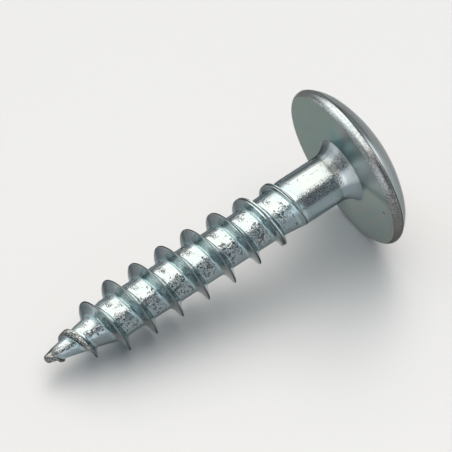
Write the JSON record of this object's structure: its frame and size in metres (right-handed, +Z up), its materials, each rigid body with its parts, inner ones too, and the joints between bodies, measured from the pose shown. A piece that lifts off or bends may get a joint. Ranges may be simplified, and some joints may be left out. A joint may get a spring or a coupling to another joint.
{
  "type": "truss head screw",
  "caption": "Zinc plated truss head wood screw: wide low domed head with a cross recess, plain upper shank, coarse sharp thread and cone point.",
  "frame": {"origin": "on the surface that the screw lies on, under the middle of its length and width", "axes": "+Z up; +X along the screw from its tip to its head, seen from above; the screw's axis leans down towards the tip"},
  "size_m": [0.0266, 0.012, 0.0118],
  "materials": {
    "zinc_plated_steel": "bright zinc plating with a faint blue-green tint, matt under the head"
  },
  "bodies": {
    "root": {"truss_head_screw": "zinc_plated_steel"}
  },
  "joints": []
}
